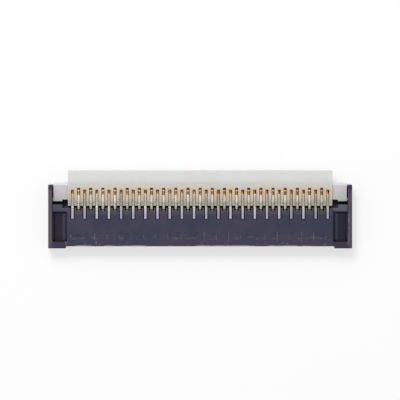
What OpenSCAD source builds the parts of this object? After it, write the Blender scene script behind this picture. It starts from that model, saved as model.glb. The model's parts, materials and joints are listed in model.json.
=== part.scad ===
// Flat-cable connector with a rear flip lever, for a cable with two staggered rows of pads.
// X runs along the contact row, Y points to the lever side and Z points up from the board.
// The origin is on the board, in the middle of the outline with the lever closed.

/* [Contact row] */
// Contacts with their solder tail at the rear; one fewer have theirs at the front
rear_tails = 22; // [6:1:28]
// Distance between neighbouring contacts
pitch = 0.3; // [0.3:0.05:0.5]
// Thickness of the strip that the contacts are blanked from
strip_t = 0.12; // [0.1:0.01:0.16]
// Clearance on each side of a contact in its housing slot
slot_clear = 0.01; // [0.005:0.005:0.02]
// Clearance on each side of a contact in its lever window
window_clear = 0.015; // [0.01:0.005:0.03]

/* [Housing] */
// Height of the housing
body_h = 1; // [0.98:0.01:1.2]
// From the outermost contact to the end face
end_w = 1.2; // [1.1:0.05:1.6]
// From the mouth to the stop that the cable meets
cable_reach = 1.49; // [1.3:0.01:1.8]
// How far the two end feet stand in front of the mouth
foot_reach = 0.1; // [0.05:0.01:0.2]
// Height of the cable slot
cable_gap = 0.32; // [0.26:0.01:0.36]
// Clearance on each side of the cable
cable_clear = 0.05; // [0.02:0.01:0.08]
// Chamfer that leads the cable into the mouth
lead_in = 0.08; // [0.04:0.01:0.1]
// Thickness of the floor under the cable
floor_t = 0.24; // [0.22:0.01:0.3]
// Thickness of the floor under the lever
rear_floor_t = 0.16; // [0.13:0.01:0.18]
// How far the rear floor reaches behind the hinge axis
rear_floor_l = 0.63; // [0.5:0.01:0.68]
// Skin left under the contacts
skin_t = 0.08; // [0.06:0.01:0.1]
// Depth of the walls between the contacts, behind the cable stop
wall_d = 0.41; // [0.36:0.01:0.6]
// Thickness of the end walls that carry the hinge pins
arm_t = 0.2; // [0.15:0.01:0.3]
// How far the end walls reach behind the hinge axis
arm_l = 0.72; // [0.7:0.01:0.9]
// Chamfer along the top front edge and the ends of the walls
edge_chamfer = 0.04; // [0.02:0.01:0.06]

/* [Housing ends] */
// How far the end shelf stands behind the walls between the contacts
shelf_reach = 0.17; // [0.1:0.01:0.2]
// Depth of the end shelf, from the pocket to its rear edge
shelf_d = 0.37; // [0.3:0.01:0.5]
// How far the end shelf lies below the housing top
shelf_drop = 0.15; // [0.05:0.01:0.2]
// Depth of the pocket in each end
pocket_depth = 0.32; // [0.2:0.01:0.34]
// Wall in front of the pocket
pocket_front = 0.35; // [0.25:0.01:0.5]
// How far the pocket's sloped sides run in
pocket_slope = 0.12; // [0.05:0.01:0.14]

/* [Lever] */
// From the hinge axis to the rear edge
lever_l = 1.45; // [1.2:0.01:1.8]
// Height of the plate's top above the hinge axis
plate_top = 0.4; // [0.36:0.01:0.45]
// Depth of the plate's underside below the hinge axis
plate_under = 0.1; // [0.05:0.01:0.15]
// Length of the flat behind the sloped part of the plate's top
flat_l = 0.49; // [0.3:0.01:0.6]
// Chamfer under the rear edge, for a fingernail
nail_chamfer = 0.16; // [0.1:0.01:0.25]
// Radius of the ribs between the windows
rib_r = 0.33; // [0.31:0.01:0.36]
// Gap between the ribs and the housing walls in front of them
rib_gap = 0.09; // [0.07:0.01:0.15]
// Height of the ribs' front face above the hinge axis
rib_nose = 0.19; // [0.12:0.01:0.2]
// From the outermost contact to the end of the plate
plate_margin = 0.23; // [0.15:0.01:0.3]
// Reach of the cam's nose from the hinge axis
cam_r = 0.17; // [0.14:0.01:0.19]
// Reach of the cam's flat sides from the hinge axis
cam_flat = 0.11; // [0.08:0.01:0.13]

/* [Lever ears] */
// Length of an ear behind the hinge axis
ear_l = 0.84; // [0.78:0.01:1]
// How far the ears lie below the top of the plate
ear_drop = 0.06; // [0.04:0.01:0.1]
// Gap between an ear and the end wall
ear_gap = 0.05; // [0.04:0.01:0.15]
// Width of the step in an ear's front face
ear_step_w = 0.28; // [0.2:0.01:0.35]
// Depth of the step in an ear's front face
ear_step_d = 0.08; // [0.04:0.01:0.12]
// Radius along the rear top edge of an ear
ear_r = 0.12; // [0.06:0.01:0.16]
// Diameter of the hinge pins
pin_d = 0.2; // [0.16:0.01:0.24]
// Radial clearance of the hinge pins
pin_clear = 0.015; // [0.01:0.005:0.03]
// How far the pins reach into the end walls
pin_grip = 0.16; // [0.1:0.01:0.2]

/* [Contacts] */
// Height of the lower beam
beam_h = 0.12; // [0.1:0.01:0.14]
// Height of the upper front beam at its root
spring_h = 0.16; // [0.13:0.01:0.18]
// Width of the post between the beams
post_w = 0.19; // [0.15:0.01:0.22]
// From the cable stop to the touch point of a rear-tail contact
rear_tail_touch = 1; // [0.85:0.01:1.1]
// From the cable stop to the touch point of a front-tail contact
front_tail_touch = 0.6; // [0.5:0.01:0.75]
// Radius of the touch points
touch_r = 0.09; // [0.07:0.01:0.095]
// Gap between the upper and the lower touch point
touch_gap = 0.19; // [0.15:0.01:0.22]
// Height of the rear arm of a rear-tail contact
low_arm_h = 0.1; // [0.08:0.01:0.12]
// Height of the rear arm of a front-tail contact
high_arm_h = 0.18; // [0.14:0.01:0.19]
// How far the hooks reach behind the hinge axis
hook_l = 0.28; // [0.25:0.01:0.3]
// How far the raised tip of a front-tail contact reaches behind the hinge axis
tip_l = 0.47; // [0.45:0.01:0.5]
// Gap between that tip and the end of its window
tip_gap = 0.1; // [0.07:0.01:0.15]
// Crown of a rear-tail contact in front of the cable stop
crown_l = 0.15; // [0.08:0.01:0.2]
// How far that crown lies below the housing top
crown_drop = 0.03; // [0.02:0.01:0.05]
// Length of the rear solder tails behind the floor
rear_tail_l = 0.35; // [0.2:0.01:0.45]
// Length of the front solder tails
front_tail_l = 0.28; // [0.2:0.01:0.35]

/* [Hold-downs] */
// Thickness of the hold-down plates
hold_t = 0.1; // [0.08:0.01:0.11]
// Width of the tongue under the housing end
tongue_w = 0.35; // [0.25:0.01:0.4]
// How far the tongue reaches in front of the hinge axis
tongue_l = 1.3; // [1:0.01:1.6]
// Length of the solder foot in front of the end of the wall
hold_foot_l = 0.4; // [0.3:0.01:0.5]
// How much of the solder foot shows behind the end of the wall
hold_show = 0.08; // [0.05:0.01:0.12]

/* [Hidden] */
$fn = 48;
// Overshoot of every cut, and the working clearance between parts that pass each other
over = 0.1;
run = 0.03;
fit = 0.01;
// Chamfer at the corners of plates, ears and crowns
corner = 0.03;

// Places along the row
front_tails = rear_tails - 1;
row_w = 2 * front_tails * pitch;
body_w = row_w + 2 * end_w;
cable_w = row_w + 2 * pitch;
slot_w = cable_w + 2 * cable_clear;
plate_w = row_w + 2 * plate_margin;
bay_w = body_w - 2 * arm_t;
ear_x = bay_w / 2 - ear_gap;
window_w = strip_t + 2 * window_clear;
chamber_w = strip_t + 2 * slot_clear;

// Depths from the cable stop, to the rear
mouth_y = -cable_reach;
front_y = mouth_y - foot_reach;
axis_y = wall_d + rib_gap + rib_r;
arm_end_y = axis_y + arm_l;
floor_end_y = axis_y + rear_floor_l;
lever_end_y = axis_y + lever_l;
centre_y = (front_y + lever_end_y) / 2;
shelf_y = wall_d + shelf_reach;
pocket_y = shelf_y - shelf_d;

// Heights above the board
ceiling_z = floor_t + cable_gap;
beam_z = skin_t + beam_h;
spring_z = ceiling_z + 2 * fit;
spring_top_z = spring_z + spring_h;
axis_z = rear_floor_t + run + rib_r;
jaw_r = cam_r + fit;
arm_z = axis_z + jaw_r;
low_arm_z = arm_z + low_arm_h;
high_arm_z = arm_z + high_arm_h;
crown_z = body_h - crown_drop;
shelf_z = body_h - shelf_drop;
low_channel_z = spring_top_z + 2 * fit;
high_channel_z = max(high_arm_z, spring_top_z) + 2 * fit;

// The contact, from the hinge axis or the cable stop
post_y = 0.03;
end_tip = 0.06;
spring_taper = 0.05;
tail_t = 0.1;
hook_z = 0.02;
seat_z = 0.12;
tip_z = 0.26;
neck_z = 0.12;
tip_w = 0.08;
tip_slope = 0.04;
joggle_l = 0.14;
joggle_start = 0.05;
touch_lift = 0.04;
touch_mid_z = floor_t + touch_lift + touch_gap / 2;

// Crowns and the notches that show them, from the rear of the walls between the contacts
crown_rear = 0.07;
crown_rear_y = wall_d + crown_rear;
notch_d = 0.15;
notch_y = wall_d - notch_d;
crown_gap = 0.07;
high_crown_y = notch_y + crown_gap;
crown_clear = 0.04;
groove_l = 0.19;
groove_y = wall_d + groove_l;
groove_half = 0.015;
hook_slope = 0.06;

// The upper corner of a rib's nose, from the hinge axis
nose_r = norm([rib_r, rib_nose]);
nose_y = rib_r - corner;
nose_z = sqrt(pow(nose_r, 2) - pow(nose_y, 2));
nose_flat = 0.05;

// The lever's windows end where its plate clears the contacts when it stands up
low_window_y = crown_z + run - axis_z;
high_window_y = tip_l + tip_gap;

// An ear clears the shelf when the lever stands up
ear_low_z = axis_y - shelf_y - run;
ear_slope_y = shelf_z - axis_z + run;
ear_high_z = plate_top - ear_drop;
ear_front_y = -pin_d / 2;
ear_under_z = -0.2;
ear_under_y = 0.2;

function two_digits(n) = n < 10 ? str("0", n) : str(n);
function rear_tail_name(n) = str("rear_tail_contact_", two_digits(n));
function front_tail_name(n) = str("front_tail_contact_", two_digits(n));
function rear_tail_x(n) = (2 * n - 1 - rear_tails) * pitch;
function front_tail_x(n) = (2 * n - 1 - front_tails) * pitch;

// Moves a part from the cable stop to the middle of the outline
module seated() {
    translate([0, -centre_y, 0]) children();
}

// Extrudes a side view, drawn in Y and Z, to a width around x
module slab(w, x = 0) {
    translate([x, 0, 0])
        rotate([90, 0, 90])
            linear_extrude(height = w, center = true) children();
}

// Extrudes a side view from x0 to x1 at both ends of the row
module end_slabs(x0, x1) {
    for (side = [-1, 1]) slab(x1 - x0, side * (x0 + x1) / 2) children();
}

// A rectangle between two corners
module block(a, b) {
    translate(a) square(b - a);
}

module on_axis() {
    translate([axis_y, axis_z]) children();
}

// ---- Housing ----

module housing_outline() {
    polygon([
        [front_y, 0],
        [arm_end_y, 0],
        [arm_end_y, body_h - edge_chamfer],
        [arm_end_y - edge_chamfer, body_h],
        [front_y + edge_chamfer, body_h],
        [front_y, body_h - edge_chamfer]
    ]);
}

module mouth_recess() {
    slab(slot_w) polygon([
        [front_y - over, -over],
        [mouth_y, -over],
        [mouth_y, body_h - edge_chamfer],
        [mouth_y + edge_chamfer + over, body_h + over],
        [front_y - over, body_h + over]
    ]);
}

module cable_slot() {
    slab(slot_w) polygon([
        [mouth_y - over, floor_t - lead_in - over],
        [mouth_y + lead_in, floor_t],
        [0, floor_t],
        [0, ceiling_z],
        [mouth_y + lead_in, ceiling_z],
        [mouth_y - over, ceiling_z + lead_in + over]
    ]);
    // The same lead-in at the two sides of the mouth
    for (side = [0, 1])
        mirror([side, 0, 0])
            translate([slot_w / 2, front_y, floor_t])
                linear_extrude(height = cable_gap)
                    polygon([[-over, -over], [lead_in + over, -over], [-over, lead_in + over]]);
}

// Room for the lever's ribs and plate, behind the walls between the contacts
module lever_bay() {
    slab(2 * (plate_w / 2 + ear_step_w)) {
        block([wall_d, rear_floor_t], [arm_end_y + over, body_h + over]);
        block([floor_end_y, -over], [arm_end_y + over, body_h + over]);
    }
}

// Room for the ears, beside the lever bay
module ear_bays() {
    end_slabs(plate_w / 2, bay_w / 2) {
        block([shelf_y, rear_floor_t], [arm_end_y + over, body_h + over]);
        block([floor_end_y, -over], [arm_end_y + over, body_h + over]);
        block([pocket_y, shelf_z], [arm_end_y + over, body_h + over]);
    }
}

module end_pockets() {
    inner_x = slot_w / 2 + 2 * fit;
    floor_z = body_h - pocket_depth;
    rise = pocket_depth + over;
    spread = pocket_slope * rise / pocket_depth;
    for (side = [0, 1])
        mirror([side, 0, 0])
            translate([0, pocket_y, 0])
                rotate([90, 0, 0])
                    linear_extrude(height = pocket_y - front_y - pocket_front)
                        polygon([
                            [inner_x, floor_z],
                            [bay_w / 2 - pocket_slope, floor_z],
                            [bay_w / 2 - pocket_slope + spread, floor_z + rise],
                            [inner_x - spread, floor_z + rise]
                        ]);
}

// Open to the rear and, over the crown, to the top
module rear_tail_slots() {
    tip_y = -rear_tail_touch - touch_r - run;
    for (n = [1 : rear_tails]) {
        slab(chamber_w, rear_tail_x(n)) polygon([
            [tip_y, skin_t],
            [floor_end_y + over, skin_t],
            [floor_end_y + over, body_h + over],
            [-crown_l - fit, body_h + over],
            [-crown_l - fit, low_channel_z],
            [tip_y, low_channel_z]
        ]);
        slab(chamber_w + 2 * run, rear_tail_x(n))
            block([-crown_l - fit, low_channel_z], [wall_d + over, body_h + over]);
    }
}

// Open to the front, with a notch for the crown in the rear edge of the roof
module front_tail_slots() {
    for (n = [1 : front_tails]) {
        slab(chamber_w, front_tail_x(n)) polygon([
            [mouth_y - over, -over],
            [mouth_y + front_tail_l + fit, -over],
            [mouth_y + front_tail_l + fit, skin_t],
            [axis_y + hook_l + run, skin_t],
            [axis_y + hook_l + run, high_channel_z],
            [mouth_y - over, high_channel_z]
        ]);
        slab(chamber_w + 2 * crown_clear, front_tail_x(n))
            block([notch_y, ceiling_z], [wall_d + over, body_h + over]);
    }
}

module hinge_holes() {
    slab(body_w + 2 * over) on_axis() circle(d = pin_d + 2 * pin_clear);
}

module housing() {
    color("#45434f")
        seated()
            difference() {
                slab(body_w) housing_outline();
                mouth_recess();
                cable_slot();
                lever_bay();
                ear_bays();
                end_pockets();
                rear_tail_slots();
                front_tail_slots();
                hinge_holes();
                hold_down_recesses();
            }
}

// ---- Lever ----

// The ribs and the plate in side view, from the hinge axis
module plate_view() {
    slope_end = lever_l - flat_l;
    circle(r = rib_r);
    polygon([
        // The nose of the ribs, flat above and square in front, clears the walls as it turns
        [-rib_r, 0],
        [-rib_r, rib_nose],
        [-nose_y, nose_z],
        [-nose_flat, rib_r],
        [0, rib_r],
        [slope_end, plate_top],
        [lever_l - corner, plate_top],
        [lever_l, plate_top - corner],
        [lever_l, nail_chamfer - plate_under],
        [lever_l - nail_chamfer, -plate_under],
        [rib_r + over, -plate_under],
        [0, -rib_r + run]
    ]);
}

module cam_view() {
    intersection() {
        circle(r = cam_r);
        block([-cam_flat, -cam_r], [cam_flat, cam_r]);
    }
}

// Each window leaves only the cam between two ribs
module windows() {
    for (n = [1 : rear_tails]) window(low_window_y, rear_tail_x(n));
    for (n = [1 : front_tails]) window(high_window_y, front_tail_x(n));
}

module window(rear_y, x) {
    slab(window_w, x)
        difference() {
            block([-rib_r - over, -rib_r - over], [rear_y, plate_top + over]);
            cam_view();
        }
}

// An ear in side view, from the hinge axis, with its front face at y
module ear_view(y) {
    polygon([
        [y, ear_under_z],
        [ear_under_y, ear_under_z],
        [ear_under_y - ear_under_z - plate_under, -plate_under],
        [ear_l, -plate_under],
        [ear_l, ear_high_z - ear_r],
        [ear_l - ear_r, ear_high_z - ear_r],
        [ear_l - ear_r, ear_high_z],
        [ear_slope_y, ear_low_z],
        [y + corner, ear_low_z],
        [y, ear_low_z - corner]
    ]);
    translate([ear_l - ear_r, ear_high_z - ear_r]) circle(r = ear_r);
}

module lever() {
    step_x = plate_w / 2 + ear_step_w;
    color("#d7d8d3")
        seated()
            translate([0, axis_y, axis_z]) {
                difference() {
                    slab(plate_w) plate_view();
                    windows();
                }
                end_slabs(plate_w / 2, step_x) ear_view(ear_front_y + ear_step_d);
                end_slabs(step_x, ear_x) ear_view(ear_front_y);
                end_slabs(ear_x - over, bay_w / 2 + pin_grip) circle(d = pin_d);
            }
}

// ---- Contacts ----

// A slot with a round end at y, open towards the other side
module round_slot(y, open_y, z0, z1) {
    r = (z1 - z0) / 2;
    inner_y = open_y < y ? y - r : y + r;
    translate([inner_y, z0 + r]) circle(r = r);
    block([min(inner_y, open_y), z0], [max(inner_y, open_y), z1]);
}

// What is blanked out of a contact: room for the cable in front, for the cam behind
module jaws(touch_y, rear_l) {
    round_slot(post_y, -touch_y - 2 * end_tip, beam_z, spring_z);
    round_slot(post_y + post_w, axis_y, axis_z - jaw_r, arm_z);
    on_axis() {
        circle(r = jaw_r);
        block([0, -seat_z], [rear_l + over, hook_z]);
    }
}

// The touch points above and below the cable
module touch_points(touch_y) {
    for (side = [-1, 1])
        translate([-touch_y, touch_mid_z + side * (touch_gap / 2 + touch_r)])
            circle(r = touch_r);
}

module rear_tail_view() {
    tip_y = -rear_tail_touch - end_tip;
    difference() {
        polygon([
            [tip_y, skin_t],
            [floor_end_y + fit, skin_t],
            [floor_end_y + fit, 0],
            [floor_end_y + rear_tail_l, 0],
            [floor_end_y + rear_tail_l, tail_t],
            [floor_end_y + joggle_l, tail_t],
            [floor_end_y + joggle_start, beam_z],
            [axis_y + hook_l, beam_z],
            [axis_y + hook_l, low_arm_z],
            [crown_rear_y, low_arm_z],
            [crown_rear_y, crown_z - corner],
            [crown_rear_y - corner, crown_z],
            [-crown_l + corner, crown_z],
            [-crown_l, crown_z - corner],
            [-crown_l, spring_top_z],
            [tip_y, spring_top_z - spring_taper]
        ]);
        jaws(rear_tail_touch, hook_l);
    }
    touch_points(rear_tail_touch);
}

module front_tail_view() {
    tip_y = -front_tail_touch - end_tip;
    difference() {
        polygon([
            [mouth_y + fit, 0],
            [mouth_y + front_tail_l, 0],
            [mouth_y + front_tail_l, skin_t],
            [axis_y + hook_l, skin_t],
            [axis_y + hook_l, axis_z],
            // Raised tip behind the hook
            [axis_y + tip_l, axis_z],
            [axis_y + tip_l, axis_z + tip_z],
            [axis_y + tip_l - tip_w, axis_z + tip_z],
            [axis_y + tip_l - tip_w - tip_slope, axis_z + neck_z],
            [axis_y + hook_l, axis_z + neck_z],
            // Raised arm over the cam, with a small groove, and the crown in the roof's notch
            [axis_y + hook_l - hook_slope, high_arm_z],
            [groove_y + groove_half, high_arm_z],
            [groove_y, high_arm_z - corner],
            [groove_y - groove_half, high_arm_z],
            [high_crown_y + corner, high_arm_z],
            [high_crown_y, high_arm_z - corner],
            [high_crown_y, low_arm_z],
            [0, low_arm_z],
            [0, spring_top_z],
            [tip_y, spring_top_z - spring_taper],
            [tip_y, beam_z],
            [mouth_y + fit, beam_z]
        ]);
        jaws(front_tail_touch, tip_l);
    }
    touch_points(front_tail_touch);
}

module rear_tail_contact(n) {
    color("#c9b27c") seated() slab(strip_t, rear_tail_x(n)) rear_tail_view();
}

module front_tail_contact(n) {
    color("#d6c394") seated() slab(strip_t, front_tail_x(n)) front_tail_view();
}

// ---- Hold-downs ----

// One plate in plan view at the right end: a tongue under the housing and a solder foot
module hold_down_view(c) {
    mid_x = (slot_w / 2 + bay_w / 2) / 2;
    block([mid_x - tongue_w / 2 - c, axis_y - tongue_l - c], [mid_x + tongue_w / 2 + c, arm_end_y]);
    block(
        [mid_x - tongue_w / 2 - c, arm_end_y - hold_foot_l - c],
        [body_w / 2 - fit + over * sign(c), arm_end_y + hold_show]
    );
}

module hold_down() {
    linear_extrude(height = hold_t) hold_down_view(0);
}

// Their recesses in the underside of the housing
module hold_down_recesses() {
    for (side = [0, 1])
        mirror([side, 0, 0])
            translate([0, 0, -over])
                linear_extrude(height = hold_t + over) hold_down_view(fit);
}

module hold_down_left() {
    color("#c9cacb") seated() mirror([1, 0, 0]) hold_down();
}

module hold_down_right() {
    color("#c9cacb") seated() hold_down();
}

housing();
lever();
hold_down_left();
hold_down_right();
for (n = [1 : rear_tails]) {
    rear_tail_contact(n);
}
for (n = [1 : front_tails]) {
    front_tail_contact(n);
}
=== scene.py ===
import json
import math

import bmesh
import bpy
from bpy.props import FloatProperty, FloatVectorProperty, IntProperty, PointerProperty
from mathutils import Matrix, Vector

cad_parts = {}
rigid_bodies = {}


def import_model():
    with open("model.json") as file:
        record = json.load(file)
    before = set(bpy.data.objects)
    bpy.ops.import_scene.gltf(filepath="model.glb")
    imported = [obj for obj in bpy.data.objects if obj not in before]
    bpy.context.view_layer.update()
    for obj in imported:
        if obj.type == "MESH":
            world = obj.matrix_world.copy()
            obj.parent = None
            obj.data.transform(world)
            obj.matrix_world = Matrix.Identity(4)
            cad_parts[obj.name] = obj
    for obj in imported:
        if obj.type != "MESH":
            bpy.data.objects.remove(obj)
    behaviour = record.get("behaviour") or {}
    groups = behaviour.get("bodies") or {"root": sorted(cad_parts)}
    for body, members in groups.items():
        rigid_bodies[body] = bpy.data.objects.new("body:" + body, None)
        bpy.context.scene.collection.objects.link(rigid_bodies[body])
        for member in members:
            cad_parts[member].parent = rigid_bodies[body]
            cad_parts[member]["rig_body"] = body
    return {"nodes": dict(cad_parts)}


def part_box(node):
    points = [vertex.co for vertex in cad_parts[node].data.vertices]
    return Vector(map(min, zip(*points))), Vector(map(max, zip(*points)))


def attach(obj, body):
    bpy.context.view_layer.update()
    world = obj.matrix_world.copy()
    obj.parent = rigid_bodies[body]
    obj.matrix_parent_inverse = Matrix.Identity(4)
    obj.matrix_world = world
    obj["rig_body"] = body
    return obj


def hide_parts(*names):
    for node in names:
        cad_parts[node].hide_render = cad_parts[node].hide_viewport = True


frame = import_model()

bl_info = {
    "name": "Flat Cable Connector",
    "version": (1, 0, 0),
    "blender": (4, 5, 0),
    "location": "View3D > Sidebar > Connector",
    "description": "Finishes the pieces of a flip-lever flat cable connector and sets its stage",
    "category": "Object",
}

MM = 0.001

# Points closer together than this, in mm, are one point
SAME_POINT = 0.0002
# Faces that turn by less than this are one face
FLAT_TURN = math.radians(0.5)
# Edges that turn by more than this are rounded, so the chamfers stay chamfers
SHARP_TURN = math.radians(50)
# Edges of the two mouldings that are shorter than this, in mm, stay sharp
SHORTEST_MOULDED = 0.2

# How far the row of contacts reaches past the last one, and how gently it ends, in mm
ROW_MARGIN = 0.3
ROW_FADE = 0.1

# Places on the housing, each from and to, in mm: depths from the front face, insets from the side faces,
# drops from the top and heights above the board. A third number is the softness of both ends.
TOP_DROP = (0.01, 0.06)
LIT_DROP = (0.2, 0.32)
OUTER_INSET = (0.1, 0.14)
OUTER_DEPTH = (0.1, 0.13)
BLOOM_DEPTH = (0.1, 0.38)
# Depths of the warm painted light at the rear of the top, in the gap before the lever
GAP_LIGHT_DEPTH = (1.68, 2.1, 0.08)
FOOT_INSET = (0.9, 1.0)
FOOT_DEPTH = (0.2, 0.36)
SHELF_INSET = (0.24, 0.94, 0.03)
SHELF_DEPTH = (1.86, 2.2, 0.03)
ARM_INSET = (0.12, 0.24)
ARM_END_DEPTH = (2.75, 3.05)
INNER_SHELF_INSET = (0.7, 0.98, 0.02)
INNER_SHELF_DEPTH = (2.15, 2.22)
# The pocket insets and depths place painted shadow lines at both ends of each pocket
POCKET_INSET = (0.24, 0.92, 0.03)
POCKET_FRONT_DEPTH = (0.3, 0.43, 0.02)
POCKET_REAR_DEPTH = (1.74, 1.81, 0.03)
# Painted highlights along the pocket walls that face the light
INNER_RIM_INSET = (0.83, 0.95, 0.02)
OUTER_RIM_INSET = (0.13, 0.25, 0.02)
RIM_DEPTH = (0.2, 1.7, 0.06)
SCUFF_DEPTH = (0.16, 0.34, 0.05)
SMUDGE_DEPTH = (0.42, 0.62, 0.06)
STAIN_DEPTH = (0.58, 0.78, 0.05)
# Depths of the painted highlight along the front lip
LIP_DEPTH = (0.12, 0.16)
# Depths and heights of the warm painted light on the floor under the lever's windows
WINDOW_LIGHT_DEPTH = (2.86, 2.99, 0.02)
WINDOW_LIGHT_HEIGHT = (0.2, 0.25)

# The patchy band on the lever, in mm from the front of its ribs
PATCHY_DEPTH = (0.4, 0.95, 0.1)
# Where the colour of the ears takes over from the plate's, in mm past the last contact
EAR_MARGIN = (0.1, 0.4)

# How far the tin of a solder tail reaches from its end, and the softness of its edge, in mm
TIN_REACH = 0.4
TIN_SOFT = 0.05
# How far below its top the gold of a contact starts, and the softness of that edge, in mm
LONG_GOLD_DROP = 0.25
SHORT_GOLD_DROP = 0.12
GOLD_SOFT = 0.02
# Added to a contact's number for its second random value
SECOND_DRAW = 31.5

# The stage, in metres
FLOOR_HALF = 0.4
KEY_PLACE = (-0.025, 0.07, 0.12)
KEY_SIZE = 0.05
NEAREST = 0.001
FARTHEST = 10
SENSOR_MM = 36
WHITE = (1.0, 1.0, 1.0)
FLOOR_WHITE = (0.95, 0.95, 0.95)
# The share of the floor that looks white however it is lit. The rest is matt and takes the shadow.
FLOOR_GLOW = 0.62


# ---- Where the parts are ----


def nodes_named(start):
    """The CAD nodes whose names begin with start, from left to right."""
    found = [n for n in frame["nodes"] if n.startswith(start)]
    return sorted(found, key=lambda n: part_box(n)[0].x)


def middle(node):
    """The middle of a node's box."""
    low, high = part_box(node)
    return (low + high) / 2


LONG_CONTACTS = nodes_named("rear_tail_contact_")
SHORT_CONTACTS = nodes_named("front_tail_contact_")
HOLD_DOWNS = nodes_named("hold_down_")
HOUSING_LOW, HOUSING_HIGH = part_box("housing")
LEVER_LOW, LEVER_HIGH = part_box("lever")
LONG_LOW, LONG_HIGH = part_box(LONG_CONTACTS[0])
SHORT_LOW, SHORT_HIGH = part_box(SHORT_CONTACTS[0])
ROW_STEP = middle(LONG_CONTACTS[1]).x - middle(LONG_CONTACTS[0]).x
STRIP = LONG_HIGH.x - LONG_LOW.x


def colour(text):
    """The linear colour that a display colour such as "d7d8d3" stands for."""
    shares = [int(text[i : i + 2], 16) / 255 for i in (0, 2, 4)]
    return tuple(s / 12.92 if s <= 0.04045 else ((s + 0.055) / 1.055) ** 2.4 for s in shares)


def tint(text, description):
    """A colour that the user can change."""
    return FloatVectorProperty(
        name=description.capitalize(),
        description=f"Colour of the {description}",
        subtype="COLOR",
        default=colour(text),
        min=0,
        max=1,
    )


def length(name, description, default_mm, least=0):
    """A length that the user can change. Its least value is in metres."""
    return FloatProperty(
        name=name,
        description=description,
        default=default_mm * MM,
        min=least,
        unit="LENGTH",
        subtype="DISTANCE",
        precision=6,
    )


# ---- Settings ----


class HousingSettings(bpy.types.PropertyGroup):
    plastic: tint("2e3145", "housing plastic")
    cloud: tint("3a3649", "purple clouding in the housing")
    # Painted shade in the recesses; the same colour also darkens the feet, the rear of the arms and the
    # stains
    recess: tint("161325", "painted shade in the housing's recesses, also its darker feet and stains")
    # Painted shadow lines at both ends of each pocket
    pocket_end_shade: tint("06050a", "painted shadow lines at the ends of the pockets")
    # Painted light: the side arms are paler, more on the left
    arm: tint("62535f", "side arms painted paler as light from the left")
    front: tint("45303f", "purple bloom along the front")
    # Also painted highlights on the pocket walls that face the light
    edge: tint("74727f", "worn housing edges and painted highlights")
    # Warm painted light at the rear of the top, in the gap before the lever
    gap_light: tint("4b4546", "warm painted light in the gap before the lever")
    # Painted highlight along the front lip
    lip: tint("cfccd4", "painted highlight on the edge of the front lip")
    # Warm painted light on the floor seen through the lever's windows
    window_light_tint: tint("b79470", "warm painted light on the floor under the front-tail contacts' windows")
    rounding: length("Edge radius", "Radius of the housing's rounded edges", 0.014)
    mark_width: length("Mark width", "Width of a sink line over a contact slot", 0.04)
    mark_length: length("Mark length", "Length of a sink line over a contact slot", 0.37)
    mark_height: length("Mark height", "Thickness of a sink line, half of which stands up", 0.004)
    mark_shift: length("Mark shift", "How far a sink line lies to the left of its slot", 0.1)
    mark_front: length("Mark front", "From the front face to the middle of the sink lines", 0.58)
    mark_seed: IntProperty(name="Mark seed", description="Seed of the sink lines", default=3)


class LeverSettings(bpy.types.PropertyGroup):
    plate: tint("d5d6d6", "lever plate")
    shoulder: tint("cac8c1", "lever behind its windows")
    # Painted warm glow of the contacts' gold through the plastic
    window_gold_glow: tint("d0b798", "painted glow of the gold beside the lever's windows")
    nose: tint("b6b2a6", "front of the lever's ribs")
    # Painted light on the fronts of the rib tips
    nose_tip_light: tint("dddacf", "rounded rib tips of the lever, painted lighter as light on their fronts")
    ear: tint("d6d5d7", "lever ears")
    ear_front: tint("a6a9ad", "front of the lever ears")
    rounding: length("Edge radius", "Radius of the lever's rounded edges", 0.014)


class ContactSettings(bpy.types.PropertyGroup):
    long_crown: tint("9e9eb0", "crowns of the rear-tail contacts")
    long_neck: tint("a9a6a7", "necks of the rear-tail contacts")
    long_arm: tint("9b9688", "arms of the rear-tail contacts")
    # Painted shade on the tips in the roof's notches; the torn band also takes this colour
    short_tip: tint("787070", "painted shade on the front-tail contacts' ends, also their torn band")
    short_nose: tint("a8a29d", "noses of the front-tail contacts")
    # A darker band across the middle of the strip
    short_waist: tint("9e9990", "darker middle of the front-tail contacts")
    short_metal: tint("cabfb0", "arms of the front-tail contacts")
    root: tint("c6ab90", "gold-tinged roots of the arms")
    flash: tint("d2b48c", "worn gold low on the rear-tail contacts")
    # Gold darkened as painted shade deep in the lever's windows
    short_gold_shade: tint("a68a66", "gold low on the front-tail contacts, darkened as painted shade")
    tin: tint("c9cacb", "tinned solder tails")
    rounding: length("Edge radius", "Radius of the contacts' blanked edges", 0.012)


class HoldDownSettings(bpy.types.PropertyGroup):
    tin: tint("d4d5d6", "tinned hold-downs")
    dull: tint("a9a8a6", "dull patches in the tin")
    rounding: length("Edge radius", "Radius of the hold-downs' edges", 0.015)


class StageSettings(bpy.types.PropertyGroup):
    view_width: length("View width", "Width of what the camera shows at the housing top", 19.736)
    aim_x: length("Aim across", "Where the camera looks, across", -0.007, least=-1)
    aim_y: length("Aim in depth", "Where the camera looks, in depth", 0.454, least=-1)
    lens: FloatProperty(name="Lens", description="Focal length in mm", default=300, min=1)
    room_light: FloatProperty(name="Room", description="Plain light all round", default=0.55, min=0)
    key_light: FloatProperty(name="Key", description="Soft lamp on the left", default=0.5, min=0)


class ConnectorSettings(bpy.types.PropertyGroup):
    housing: PointerProperty(type=HousingSettings)
    lever: PointerProperty(type=LeverSettings)
    contacts: PointerProperty(type=ContactSettings)
    hold_downs: PointerProperty(type=HoldDownSettings)
    stage: PointerProperty(type=StageSettings)


# ---- Nodes ----


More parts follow.
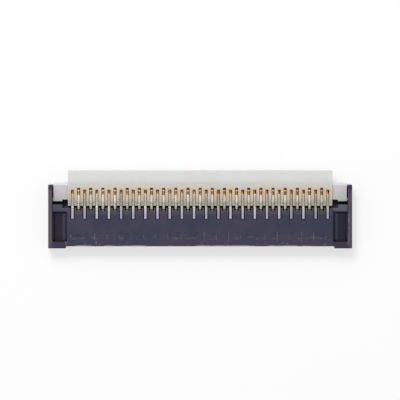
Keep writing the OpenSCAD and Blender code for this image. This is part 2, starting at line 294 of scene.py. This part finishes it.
class Nodes:
    """Adds nodes to one node tree."""

    def __init__(self, tree):
        self.tree = tree

    def feed(self, socket, value):
        """Sets a socket, or links it to another."""
        if isinstance(value, bpy.types.NodeSocket):
            self.tree.links.new(value, socket)
        elif hasattr(value, "__len__") and len(value) == 3 and socket.type == "RGBA":
            socket.default_value = (*value, 1)
        else:
            socket.default_value = value

    def add(self, kind, wires=None, **settings):
        """A new node, set up with settings, whose inputs are fed as wires says."""
        made = self.tree.nodes.new(kind)
        for key, value in settings.items():
            setattr(made, key, value)
        for key, value in (wires or {}).items():
            self.feed(made.inputs[key], value)
        return made

    def maths(self, operation, *values):
        """The result of one Math node."""
        return self.add("ShaderNodeMath", dict(enumerate(values)), operation=operation).outputs[0]

    def times(self, share, *others):
        """All the shares multiplied together."""
        for other in others:
            share = self.maths("MULTIPLY", share, other)
        return share

    def most(self, share, *others):
        """The largest of the shares."""
        for other in others:
            share = self.maths("MAXIMUM", share, other)
        return share


class Finish(Nodes):
    """One material, with lengths in millimetres in the connector's own frame."""

    def __init__(self, name):
        self.material = bpy.data.materials.new(name)
        self.material.use_nodes = True
        super().__init__(self.material.node_tree)
        self.tree.nodes.clear()
        self.shader = self.add("ShaderNodeBsdfPrincipled")
        self.add("ShaderNodeOutputMaterial", {"Surface": self.shader.outputs[0]})
        place = self.add("ShaderNodeTexCoord").outputs["Object"]
        scaled = self.add("ShaderNodeVectorMath", {0: place, "Scale": 1 / MM}, operation="SCALE")
        self.place = scaled.outputs[0]
        self.x, self.y, self.z = self.add("ShaderNodeSeparateXYZ", {0: self.place}).outputs

    def blend(self, share, a, b):
        """Colour a where share is 0 and colour b where it is 1."""
        return self.add("ShaderNodeMix", {0: share, 6: a, 7: b}, data_type="RGBA").outputs[2]

    def rise(self, value, start, end, low=0.0, high=1.0):
        """Goes smoothly from low at start to high at end."""
        wires = dict(enumerate((value, start, end, low, high)))
        return self.add("ShaderNodeMapRange", wires, interpolation_type="SMOOTHSTEP").outputs[0]

    def fall(self, value, start, end, high=1.0, low=0.0):
        """Goes smoothly from high at start to low at end."""
        return self.rise(value, start, end, high, low)

    def band(self, value, low, high, soft):
        """1 between low and high and 0 outside, with soft edges."""
        up = self.rise(value, low - soft, low + soft)
        return self.times(up, self.fall(value, high - soft, high + soft))

    def cloud(self, per_mm, detail=2.0, roughness=0.5, stretch=(1, 1, 1)):
        """Noise with that many features to the millimetre."""
        scale = [per_mm * s for s in stretch]
        where = self.add("ShaderNodeVectorMath", {0: self.place, 1: scale}, operation="MULTIPLY")
        wires = {"Vector": where.outputs[0], "Scale": 1.0, "Detail": detail, "Roughness": roughness}
        return self.add("ShaderNodeTexNoise", wires).outputs["Fac"]

    def ramp(self, value, start, end, stops):
        """Colours at places between start and end, along value."""
        share = self.add("ShaderNodeMapRange", dict(enumerate((value, start, end, 0.0, 1.0))))
        made = self.add("ShaderNodeValToRGB", {0: share.outputs[0]})
        points = made.color_ramp.elements
        while len(points) < len(stops):
            points.new(0.5)
        for point, (place, shade) in zip(points, stops):
            point.position = (place - start) / (end - start)
            point.color = (*shade, 1)
        return made.outputs[0]

    def relief(self, *layers):
        """Bumps, each a height from 0 to 1 and its size in mm."""
        wires = {"Strength": 1.0}
        for height, size in layers:
            made = self.add("ShaderNodeBump", {**wires, "Distance": size * MM, "Height": height})
            wires["Normal"] = made.outputs[0]
        self.feed(self.shader.inputs["Normal"], wires["Normal"])

    def set(self, **values):
        """Sets inputs of the shader by their names."""
        for key, value in values.items():
            self.feed(self.shader.inputs[key.replace("_", " ").title().replace("Ior", "IOR")], value)


# ---- Finishes ----


class HousingPlastic(Finish):
    """Glass-filled black-grey plastic, clouded, with painted shade in its recesses, painted highlights along
    its lip and on its pocket walls, and warm painted light in the gap before the lever.
    """

    def __init__(self, tints):
        super().__init__("housing_plastic")
        self.tints = tints
        side = HOUSING_HIGH.x / MM
        out = self.maths("ABSOLUTE", self.x)
        row_end = middle(LONG_CONTACTS[-1]).x / MM + ROW_MARGIN
        self.depth = self.maths("SUBTRACT", self.y, HOUSING_LOW.y / MM)
        self.drop = self.maths("SUBTRACT", HOUSING_HIGH.z / MM, self.z)
        self.inset = self.maths("SUBTRACT", side, out)
        self.from_left = self.maths("ADD", side, self.x)
        self.from_right = self.maths("SUBTRACT", side, self.x)
        self.in_row = self.fall(out, row_end, row_end + ROW_FADE)
        self.on_top = self.fall(self.drop, *TOP_DROP)
        base = self.clouded_plastic()
        base = self.end_tones(base)
        base = self.recess_shade(base)
        base = self.top_wear_and_wall_highlights(base)
        base = self.stains(base)
        base = self.lip_highlight(base)
        base = self.painted_window_light(base)
        roughness = self.rise(self.cloud(6, 3), 0.2, 0.8, 0.42, 0.6)
        self.set(base_color=base, roughness=roughness, specular_ior_level=0.2)
        self.relief((self.cloud(2.2, 2), 0.006), (self.cloud(28, 3, 0.65), 0.0025))

    def left_to_right(self, left, right):
        """One share left of the middle and another right of it."""
        return self.rise(self.x, -1.0, 1.0, left, right)

    def clouded_plastic(self):
        """Purple clouds and a bloom along the front, with warm patches of painted light at the rear of the
        top, in the gap before the lever.
        """
        tints = self.tints
        base = self.blend(self.rise(self.cloud(0.9, 3), 0.35, 0.65), tints.plastic, tints.cloud)
        bloom = self.times(self.fall(self.depth, *BLOOM_DEPTH, 0.75), self.rise(self.cloud(1.3, 2), 0.3, 0.6))
        base = self.blend(bloom, base, tints.front)
        patches = self.rise(self.cloud(2.4, 3), 0.3, 0.6, 0.3, 0.8)
        gap_light = self.times(self.band(self.depth, *GAP_LIGHT_DEPTH), patches, self.in_row)
        return self.blend(gap_light, base, tints.gap_light)

    def end_tones(self, base):
        """Darker feet, paler shelves behind the pockets, and side arms painted paler, more on the left as
        painted light from that side, that darken towards the rear.
        """
        foot = self.times(self.fall(self.inset, *FOOT_INSET), self.fall(self.depth, *FOOT_DEPTH, 0.35))
        base = self.blend(foot, base, self.tints.recess)
        shelf = self.times(self.band(self.inset, *SHELF_INSET), self.band(self.depth, *SHELF_DEPTH))
        base = self.blend(self.times(shelf, self.left_to_right(0.2, 0.42)), base, self.tints.edge)
        # The arms are painted paler, more on the left, as painted light from the left
        arm = self.fall(self.inset, *ARM_INSET)
        base = self.blend(self.times(arm, self.left_to_right(0.65, 0.4)), base, self.tints.arm)
        arm_end = self.times(arm, self.rise(self.depth, *ARM_END_DEPTH, 0.0, 0.7))
        return self.blend(arm_end, base, self.tints.recess)

    def recess_shade(self, base):
        """Painted shade below the top, but not on the outer faces, and painted shadow lines, nearly black, at
        both ends of a pocket.
        """
        inner_shelf = self.band(self.inset, *INNER_SHELF_INSET)
        inner_shelf = self.times(inner_shelf, self.fall(self.depth, *INNER_SHELF_DEPTH))
        outside = self.most(self.fall(self.inset, *OUTER_INSET), self.fall(self.depth, *OUTER_DEPTH))
        lit = self.most(self.fall(self.drop, *LIT_DROP), inner_shelf, outside)
        base = self.blend(lit, self.tints.recess, base)
        rear_end = self.times(self.band(self.depth, *POCKET_REAR_DEPTH), 0.6)
        both_ends = self.maths("ADD", self.band(self.depth, *POCKET_FRONT_DEPTH), rear_end)
        pocket_end_shade = self.times(self.band(self.inset, *POCKET_INSET), both_ends)
        return self.blend(pocket_end_shade, base, self.tints.pocket_end_shade)

    def top_wear_and_wall_highlights(self, base):
        """Pale specks and scuffs and smudges behind the lip, which are wear, and painted highlights on the
        pocket walls that face the light.
        """
        base = self.blend(self.rise(self.cloud(22, 2, 0.7), 0.62, 0.78, 0.0, 0.1), base, self.tints.edge)
        # The two bands are painted highlights on the pocket walls that face the light from the left
        inner = self.band(self.from_left, *INNER_RIM_INSET)
        outer = self.band(self.from_right, *OUTER_RIM_INSET)
        rim_highlights = self.times(self.maths("ADD", inner, outer), self.band(self.depth, *RIM_DEPTH))
        rim_highlights = self.times(rim_highlights, self.rise(self.cloud(5, 3, 0.6), 0.4, 0.55, 0.1, 0.55))
        scuff = self.rise(self.cloud(3.2, 5, 0.7), 0.56, 0.72, 0.0, 0.6)
        scuff = self.times(self.band(self.depth, *SCUFF_DEPTH), scuff)
        smudge = self.rise(self.cloud(3.0, 4, 0.6, (1, 2, 1)), 0.5, 0.7, 0.0, 0.3)
        smudge = self.times(self.band(self.depth, *SMUDGE_DEPTH), smudge)
        wear_and_highlight = self.most(self.times(self.in_row, self.most(scuff, smudge)), rim_highlights)
        return self.blend(self.times(self.on_top, wear_and_highlight), base, self.tints.edge)

    def stains(self, base):
        """Dark stains in front of the contact slots."""
        patches = self.rise(self.cloud(2.6, 3, 0.6, (1, 2.5, 1)), 0.5, 0.64, 0.0, 0.45)
        stain = self.times(self.in_row, self.band(self.depth, *STAIN_DEPTH), patches)
        return self.blend(stain, base, self.tints.recess)

    def lip_highlight(self, base):
        """Painted highlight along the front lip, in long pieces."""
        pieces = self.rise(self.cloud(0.8, 3, 0.6, (1, 0.1, 0.1)), 0.46, 0.58, 0.08, 0.75)
        lip = self.times(self.in_row, self.fall(self.depth, *LIP_DEPTH), pieces, self.on_top)
        return self.blend(lip, base, self.tints.lip)

    def painted_window_light(self, base):
        """Warm spots on the rear floor, one behind each front-tail contact: painted light, seen through the
        lever's windows.
        """
        across = self.maths("SUBTRACT", self.x, SHORT_LOW.x / MM)
        across = self.maths("FRACT", self.maths("DIVIDE", across, ROW_STEP / MM))
        spots = self.times(self.fall(across, 0.2, 0.24), self.band(self.depth, *WINDOW_LIGHT_DEPTH))
        spots = self.times(spots, self.in_row, self.fall(self.z, *WINDOW_LIGHT_HEIGHT))
        return self.blend(spots, base, self.tints.window_light_tint)


def lever_finish(tints):
    """Milky plastic that lets light through, with a warm band beside the windows painted as the glow of the
    contacts' gold through it, and rib tips painted lighter as light on their fronts.
    """
    f = Finish("lever_plastic")
    depth = f.maths("SUBTRACT", f.y, LEVER_LOW.y / MM)
    span = (LEVER_HIGH.y - LEVER_LOW.y) / MM
    # The rib tips are painted lighter as light on their fronts, and the band beside the windows as the glow
    # of the gold beneath
    plate_stops = [
        (0.06, tints.nose_tip_light),
        (0.14, tints.nose),
        (0.3, tints.nose),
        (0.64, tints.window_gold_glow),
        (0.8, tints.window_gold_glow),
        (0.98, tints.shoulder),
        (1.1, tints.shoulder),
        (1.3, tints.plate),
    ]
    plate = f.ramp(depth, 0.0, span, plate_stops)
    patchy = f.times(f.band(depth, *PATCHY_DEPTH), f.rise(f.cloud(1.8, 3), 0.42, 0.62, 0.0, 0.5))
    plate = f.blend(patchy, plate, tints.shoulder)
    ears = f.ramp(depth, 0.0, span, [(0.1, tints.ear_front), (1.0, tints.ear)])
    past_row = f.maths("SUBTRACT", f.maths("ABSOLUTE", f.x), middle(LONG_CONTACTS[-1]).x / MM)
    past_row = f.rise(past_row, *EAR_MARGIN)
    base = f.blend(past_row, plate, ears)
    base = f.blend(f.rise(f.cloud(1.1, 2), 0.4, 0.7, 0.0, 0.1), base, tints.window_gold_glow)
    f.set(base_color=base, roughness=f.rise(f.cloud(5, 3), 0.2, 0.8, 0.38, 0.55), specular_ior_level=0.35)
    f.set(subsurface_weight=0.3, subsurface_scale=0.2 * MM, subsurface_radius=(1.0, 0.8, 0.6))
    f.relief((f.cloud(1.5, 2), 0.005), (f.cloud(24, 3, 0.6), 0.0015))
    return f


def contact_finish(name, tints, stops, gold, gold_z, spread, first_x, tail_y, tail_side):
    """Blanked spring strip, each a little different, with a torn band along its edge and a tinned tail.

    Stops are depths in mm and the colour of the strip's top there. Below gold_z the strip keeps its gold,
    which for the front-tail contacts is darkened as painted shade deep in the lever's windows.
    Spread is how far the contacts differ in brightness. The tin starts at tail_y, towards tail_side.
    """
    f = Finish(name)
    place = f.maths("DIVIDE", f.maths("SUBTRACT", f.x, first_x), ROW_STEP / MM)
    number = f.maths("FLOOR", place)
    across = f.maths("MULTIPLY", f.maths("FRACT", place), ROW_STEP / STRIP)
    chance = f.add("ShaderNodeTexWhiteNoise", noise_dimensions="1D")
    f.feed(chance.inputs["W"], number)
    other_chance = f.add("ShaderNodeTexWhiteNoise", noise_dimensions="1D")
    f.feed(other_chance.inputs["W"], f.maths("ADD", number, SECOND_DRAW))
    torn_from = f.maths("MULTIPLY_ADD", other_chance.outputs["Value"], 0.4, 0.45)
    torn = f.rise(across, torn_from, f.maths("ADD", torn_from, 0.15))
    brightness = f.maths("MULTIPLY_ADD", chance.outputs["Value"], spread, 1.05 - spread / 2)
    along = f.ramp(f.y, stops[0][0], stops[-1][0], stops)
    top = f.add("ShaderNodeVectorMath", {0: along, "Scale": brightness}, operation="SCALE").outputs[0]
    base = f.blend(f.rise(f.z, gold_z - GOLD_SOFT, gold_z + GOLD_SOFT), gold, top)
    # The torn band takes the colour of the shaded tips
    base = f.blend(f.times(torn, 0.4), base, tints.short_tip)
    base = f.blend(f.rise(f.cloud(7, 4, 0.6), 0.45, 0.8, 0.0, 0.2), base, gold)
    tail = f.rise(f.y, tail_y - TIN_SOFT * tail_side, tail_y + TIN_SOFT * tail_side)
    base = f.blend(tail, base, tints.tin)
    rough = f.maths("ADD", f.times(torn, 0.2), f.rise(f.cloud(12, 3), 0.2, 0.8, 0.2, 0.36))
    f.set(base_color=base, roughness=rough, metallic=1.0)
    grain = f.cloud(45, 2, 0.6, (1, 0.12, 1))
    f.relief((f.times(torn, -1.0), 0.003), (grain, 0.0004))
    return f


def hold_down_finish(tints):
    """Dull tin with a few grey patches."""
    f = Finish("hold_down_tin")
    base = f.blend(f.rise(f.cloud(4, 4, 0.6), 0.45, 0.7), tints.tin, tints.dull)
    f.set(base_color=base, metallic=1.0, roughness=f.rise(f.cloud(9, 3), 0.2, 0.8, 0.3, 0.5))
    f.relief((f.cloud(14, 3, 0.6), 0.003))
    return f


def sink_line_finish(tints):
    """Housing plastic, a little paler in places."""
    f = Finish("housing_sink_lines")
    base = f.blend(f.rise(f.cloud(4), 0.3, 0.7, 0.05, 0.35), tints.plastic, tints.edge)
    f.set(base_color=base, roughness=0.5)
    f.relief((f.cloud(28, 3), 0.002))
    return f


# ---- Shapes ----


def put_in_scene(obj):
    """Links an object into the scene."""
    bpy.context.scene.collection.objects.link(obj)


def show(mesh, name, body, finish):
    """Adds a finished mesh as a piece of one material that rides on a body."""
    mesh.materials.clear()
    mesh.materials.append(finish.material)
    obj = bpy.data.objects.new(name, mesh)
    put_in_scene(obj)
    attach(obj, body)
    return obj


def worked_out(obj):
    """A plain mesh of the object with its modifiers worked out."""
    scene_now = bpy.context.evaluated_depsgraph_get()
    return bpy.data.meshes.new_from_object(obj.evaluated_get(scene_now), depsgraph=scene_now)


def rounded_copy(node, radius, shortest):
    """A CAD node's mesh with rounded edges, evenly shaded.

    Edges shorter than shortest stay sharp, as their roundings would run into each other. Both sizes are in
    mm, and so is the copy while it is worked on, because in metres its areas are too small for even shading.
    """
    mesh = frame["nodes"][node].data.copy()
    mesh.name = node + "_finished"
    shell = bmesh.new()
    shell.from_mesh(mesh)
    bmesh.ops.scale(shell, verts=shell.verts, vec=Vector((1, 1, 1)) / MM)
    bmesh.ops.remove_doubles(shell, verts=shell.verts, dist=SAME_POINT)
    bmesh.ops.dissolve_limit(shell, angle_limit=FLAT_TURN, verts=shell.verts, edges=shell.edges)
    weight = shell.edges.layers.float.new("bevel_weight_edge")
    for edge in shell.edges:
        chosen = edge.calc_face_angle(0) > SHARP_TURN and edge.calc_length() > shortest
        edge[weight] = 1.0 if chosen else 0.0
    shell.to_mesh(mesh)
    obj = bpy.data.objects.new(node + "_finished", mesh)
    put_in_scene(obj)
    rounding = obj.modifiers.new("rounding", "BEVEL")
    rounding.width = radius
    rounding.segments = 2
    rounding.limit_method = "WEIGHT"
    rounding.use_clamp_overlap = shortest == 0
    rounded = worked_out(obj)
    shell.clear()
    shell.from_mesh(rounded)
    for edge in shell.edges:
        edge.smooth = edge.calc_face_angle(0) < SHARP_TURN
    for face in shell.faces:
        face.smooth = True
    shell.to_mesh(rounded)
    shell.free()
    obj.modifiers.remove(rounding)
    obj.data = rounded
    even = obj.modifiers.new("even_shading", "WEIGHTED_NORMAL")
    even.keep_sharp = True
    even.thresh = 0
    made = worked_out(obj)
    made.transform(Matrix.Scale(MM, 4))
    bpy.data.objects.remove(obj)
    return made


def soften(node, rounding, shortest, finish):
    """Stands a finished copy with rounded edges in for a CAD node."""
    made = rounded_copy(node, rounding / MM, shortest)
    piece = show(made, node + "_finished", frame["nodes"][node]["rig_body"], finish)
    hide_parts(node)


class ShapeTree(Nodes):
    """A geometry node tree, with named inputs."""

    def __init__(self, name):
        super().__init__(bpy.data.node_groups.new(name, "GeometryNodeTree"))
        self.tree.interface.new_socket("Geometry", in_out="OUTPUT", socket_type="NodeSocketGeometry")
        self.inputs = {}
        self.source = self.add("NodeGroupInput")
        self.sink = self.add("NodeGroupOutput")

    def number(self, name, value, kind="NodeSocketFloat"):
        """A named input and the value that the modifier gives it."""
        made = self.tree.interface.new_socket(name, in_out="INPUT", socket_type=kind)
        self.inputs[made.identifier] = value
        return self.source.outputs[name]

    def vector(self, x=0.0, y=0.0, z=0.0):
        """Three numbers as one vector."""
        return self.add("ShaderNodeCombineXYZ", {"X": x, "Y": y, "Z": z}).outputs[0]

    def mesh(self, geometry, finish, name):
        """Runs the tree once and gives its result as a plain mesh."""
        real = self.add("GeometryNodeRealizeInstances", {0: geometry}).outputs[0]
        coated = self.add("GeometryNodeSetMaterial", {"Geometry": real, "Material": finish.material})
        self.feed(self.sink.inputs[0], coated.outputs[0])
        holder = bpy.data.objects.new(name + "_holder", bpy.data.meshes.new(name + "_empty"))
        put_in_scene(holder)
        modifier = holder.modifiers.new(name, "NODES")
        modifier.node_group = self.tree
        for identifier, value in self.inputs.items():
            modifier[identifier] = value
        made = worked_out(holder)
        made.name = name
        bpy.data.objects.remove(holder)
        if not made.polygons:
            raise RuntimeError(f"{name} came out empty")
        return made


def slot_marks(settings, finish):
    """Sink lines in the housing top, one over each rear-tail contact's slot."""
    t = ShapeTree("Slot marks")
    count = t.number("Count", len(LONG_CONTACTS), "NodeSocketInt")
    step = t.number("Step", ROW_STEP)
    width = t.number("Width", settings.mark_width)
    reach = t.number("Length", settings.mark_length)
    height = t.number("Height", settings.mark_height)
    seed = t.number("Seed", settings.mark_seed, "NodeSocketInt")
    left = t.number("Left", middle(LONG_CONTACTS[0]).x - settings.mark_shift)
    front = t.number("Front", HOUSING_LOW.y + settings.mark_front)
    top = t.number("Top", HOUSING_HIGH.z)
    near_end = t.vector(0.0, t.maths("MULTIPLY", reach, -0.5))
    far_end = t.vector(0.0, t.maths("MULTIPLY", reach, 0.5))
    spine = t.add("GeometryNodeCurvePrimitiveLine", {"Start": near_end, "End": far_end}).outputs[0]
    ring = t.add("GeometryNodeCurvePrimitiveCircle", {"Resolution": 8, "Radius": 0.5}).outputs[0]
    wires = {"Curve": spine, "Profile Curve": ring, "Fill Caps": True}
    bar = t.add("GeometryNodeCurveToMesh", wires).outputs[0]
    scaled = t.add("GeometryNodeTransform", {0: bar, "Scale": t.vector(width, 1.0, height)}).outputs[0]
    wires = {"Count": count, "Start Location": t.vector(left, front, top), "Offset": t.vector(step)}
    row = t.add("GeometryNodeMeshLine", wires, mode="OFFSET").outputs[0]
    smallest, largest = (0.3, 0.15, 0.4), (1.3, 1.6, 1.0)
    wires = {"Min": smallest, "Max": largest, "Seed": seed}
    sizes = t.add("FunctionNodeRandomValue", wires, data_type="FLOAT_VECTOR").outputs[0]
    wires = {"Points": row, "Instance": scaled, "Scale": sizes}
    placed = t.add("GeometryNodeInstanceOnPoints", wires).outputs[0]
    return t.mesh(placed, finish, "housing_slot_marks")


# ---- Stage ----


def white_to_eye(nodes):
    """1 for what is seen by the camera, also in metal or through glass, and 0 for what gives light."""
    path = nodes.add("ShaderNodeLightPath").outputs
    return nodes.most(path["Is Camera Ray"], path["Is Glossy Ray"], path["Is Transmission Ray"])


def stage_floor():
    """A white floor that keeps the shadow."""
    mesh = bpy.data.meshes.new("floor")
    corners = [(x * FLOOR_HALF, y * FLOOR_HALF, 0) for x, y in ((-1, -1), (1, -1), (1, 1), (-1, 1))]
    mesh.from_pydata(corners, [], [(0, 1, 2, 3)])
    material = bpy.data.materials.new("floor_white")
    material.use_nodes = True
    mesh.materials.append(material)
    nodes = Nodes(material.node_tree)
    nodes.tree.nodes.clear()
    matt = nodes.add("ShaderNodeBsdfDiffuse", {"Color": FLOOR_WHITE}).outputs[0]
    glow = nodes.add("ShaderNodeEmission", {"Color": WHITE, "Strength": 1.0}).outputs[0]
    share = nodes.times(white_to_eye(nodes), FLOOR_GLOW)
    both = nodes.add("ShaderNodeMixShader", {0: share, 1: matt, 2: glow}).outputs[0]
    nodes.add("ShaderNodeOutputMaterial", {"Surface": both})
    floor = bpy.data.objects.new("floor", mesh)
    put_in_scene(floor)


def stage_room(level):
    """Plain light from all round, seen as white by the camera and in reflections."""
    world = bpy.data.worlds.new("room")
    bpy.context.scene.world = world
    world.use_nodes = True
    nodes = Nodes(world.node_tree)
    nodes.tree.nodes.clear()
    light = nodes.add("ShaderNodeBackground", {"Color": WHITE, "Strength": level}).outputs[0]
    white = nodes.add("ShaderNodeBackground", {"Color": WHITE, "Strength": 1.0}).outputs[0]
    both = nodes.add("ShaderNodeMixShader", {0: white_to_eye(nodes), 1: light, 2: white}).outputs[0]
    nodes.add("ShaderNodeOutputWorld", {"Surface": both})


def stage_lamp(name, place, size, level):
    """A square soft lamp that adds that share of plain light to a level white surface."""
    place = Vector(place)
    lamp = bpy.data.lights.new(name, "AREA")
    lamp.shape = "SQUARE"
    lamp.size = size
    lamp.energy = level * math.pi**2 * place.length_squared / place.normalized().z
    obj = bpy.data.objects.new(name, lamp)
    obj.location = place
    obj.rotation_euler = (-place).to_track_quat("-Z", "Y").to_euler()
    put_in_scene(obj)


def stage_camera(settings):
    """A camera straight above the connector."""
    camera = bpy.data.cameras.new("camera")
    camera.lens = settings.lens
    camera.sensor_width = SENSOR_MM
    camera.clip_start = NEAREST
    camera.clip_end = FARTHEST
    obj = bpy.data.objects.new("camera", camera)
    height = settings.view_width * camera.lens / camera.sensor_width
    obj.location = (settings.aim_x, settings.aim_y, HOUSING_HIGH.z + height)
    put_in_scene(obj)
    bpy.context.scene.camera = obj


# ---- Operators ----


class CONNECTOR_OT_stage(bpy.types.Operator):
    """Set the floor, the light and the camera"""

    bl_idname = "connector.stage"
    bl_label = "Stage"

    def execute(self, context):
        settings = context.scene.connector.stage
        stage_floor()
        stage_room(settings.room_light)
        stage_lamp("key_lamp", KEY_PLACE, KEY_SIZE, settings.key_light)
        stage_camera(settings)
        context.scene.view_settings.view_transform = "Standard"
        return {"FINISHED"}


class CONNECTOR_OT_housing(bpy.types.Operator):
    """Finish the housing and add the sink lines over its slots"""

    bl_idname = "connector.housing"
    bl_label = "Housing"

    def execute(self, context):
        settings = context.scene.connector.housing
        plastic = HousingPlastic(settings)
        soften("housing", settings.rounding, SHORTEST_MOULDED, plastic)
        pale = sink_line_finish(settings)
        show(slot_marks(settings, pale), "housing_slot_marks", "housing", pale)
        return {"FINISHED"}


class CONNECTOR_OT_lever(bpy.types.Operator):
    """Finish the flip lever"""

    bl_idname = "connector.lever"
    bl_label = "Lever"

    def execute(self, context):
        settings = context.scene.connector.lever
        soften("lever", settings.rounding, SHORTEST_MOULDED, lever_finish(settings))
        return {"FINISHED"}


class CONNECTOR_OT_contacts(bpy.types.Operator):
    """Finish both rows of contacts"""

    bl_idname = "connector.contacts"
    bl_label = "Contacts"

    def execute(self, context):
        settings = context.scene.connector.contacts
        long_metal = contact_finish(
            "rear_tail_metal",
            settings,
            stops=[
                (-0.45, settings.long_crown),
                (-0.2, settings.long_crown),
                (0.0, settings.long_neck),
                (0.2, settings.long_arm),
                (0.5, settings.long_arm),
                (0.78, settings.root),
            ],
            gold=settings.flash,
            gold_z=LONG_HIGH.z / MM - LONG_GOLD_DROP,
            spread=0.45,
            first_x=LONG_LOW.x / MM,
            tail_y=LONG_HIGH.y / MM - TIN_REACH,
            tail_side=1,
        )
        short_metal = contact_finish(
            "front_tail_metal",
            settings,
            stops=[
                # The tip is painted dark as shade in the roof's notch
                (-0.06, settings.short_tip),
                (0.05, settings.short_nose),
                (0.16, settings.short_nose),
                (0.28, settings.short_waist),
                (0.45, settings.short_metal),
                (0.62, settings.short_metal),
                (0.8, settings.root),
            ],
            # Gold darkened as painted shade deep in the lever's windows
            gold=settings.short_gold_shade,
            gold_z=SHORT_HIGH.z / MM - SHORT_GOLD_DROP,
            spread=0.22,
            first_x=SHORT_LOW.x / MM,
            tail_y=SHORT_LOW.y / MM + TIN_REACH,
            tail_side=-1,
        )
        for node in LONG_CONTACTS:
            soften(node, settings.rounding, 0, long_metal)
        for node in SHORT_CONTACTS:
            soften(node, settings.rounding, 0, short_metal)
        return {"FINISHED"}


class CONNECTOR_OT_hold_downs(bpy.types.Operator):
    """Finish the two hold-down plates"""

    bl_idname = "connector.hold_downs"
    bl_label = "Hold-downs"

    def execute(self, context):
        settings = context.scene.connector.hold_downs
        finish = hold_down_finish(settings)
        for node in HOLD_DOWNS:
            soften(node, settings.rounding, 0, finish)
        return {"FINISHED"}


OPERATORS = (
    CONNECTOR_OT_stage,
    CONNECTOR_OT_housing,
    CONNECTOR_OT_lever,
    CONNECTOR_OT_contacts,
    CONNECTOR_OT_hold_downs,
)


class CONNECTOR_PT_pieces(bpy.types.Panel):
    """The stage and the connector's pieces, in the order in which they are made"""

    bl_idname = "CONNECTOR_PT_pieces"
    bl_label = "Connector"
    bl_space_type = "VIEW_3D"
    bl_region_type = "UI"
    bl_category = "Connector"

    def draw(self, context):
        for operator in OPERATORS:
            self.layout.operator(operator.bl_idname)


CLASSES = (
    HousingSettings,
    LeverSettings,
    ContactSettings,
    HoldDownSettings,
    StageSettings,
    ConnectorSettings,
    *OPERATORS,
    CONNECTOR_PT_pieces,
)


def register():
    for made in CLASSES:
        bpy.utils.register_class(made)
    bpy.types.Scene.connector = PointerProperty(type=ConnectorSettings)


def unregister():
    del bpy.types.Scene.connector
    for made in reversed(CLASSES):
        bpy.utils.unregister_class(made)


def main():
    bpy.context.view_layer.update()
    register()
    bpy.ops.connector.stage()
    bpy.ops.connector.housing()
    bpy.ops.connector.lever()
    bpy.ops.connector.contacts()
    bpy.ops.connector.hold_downs()


if __name__ == "__main__":
    main()
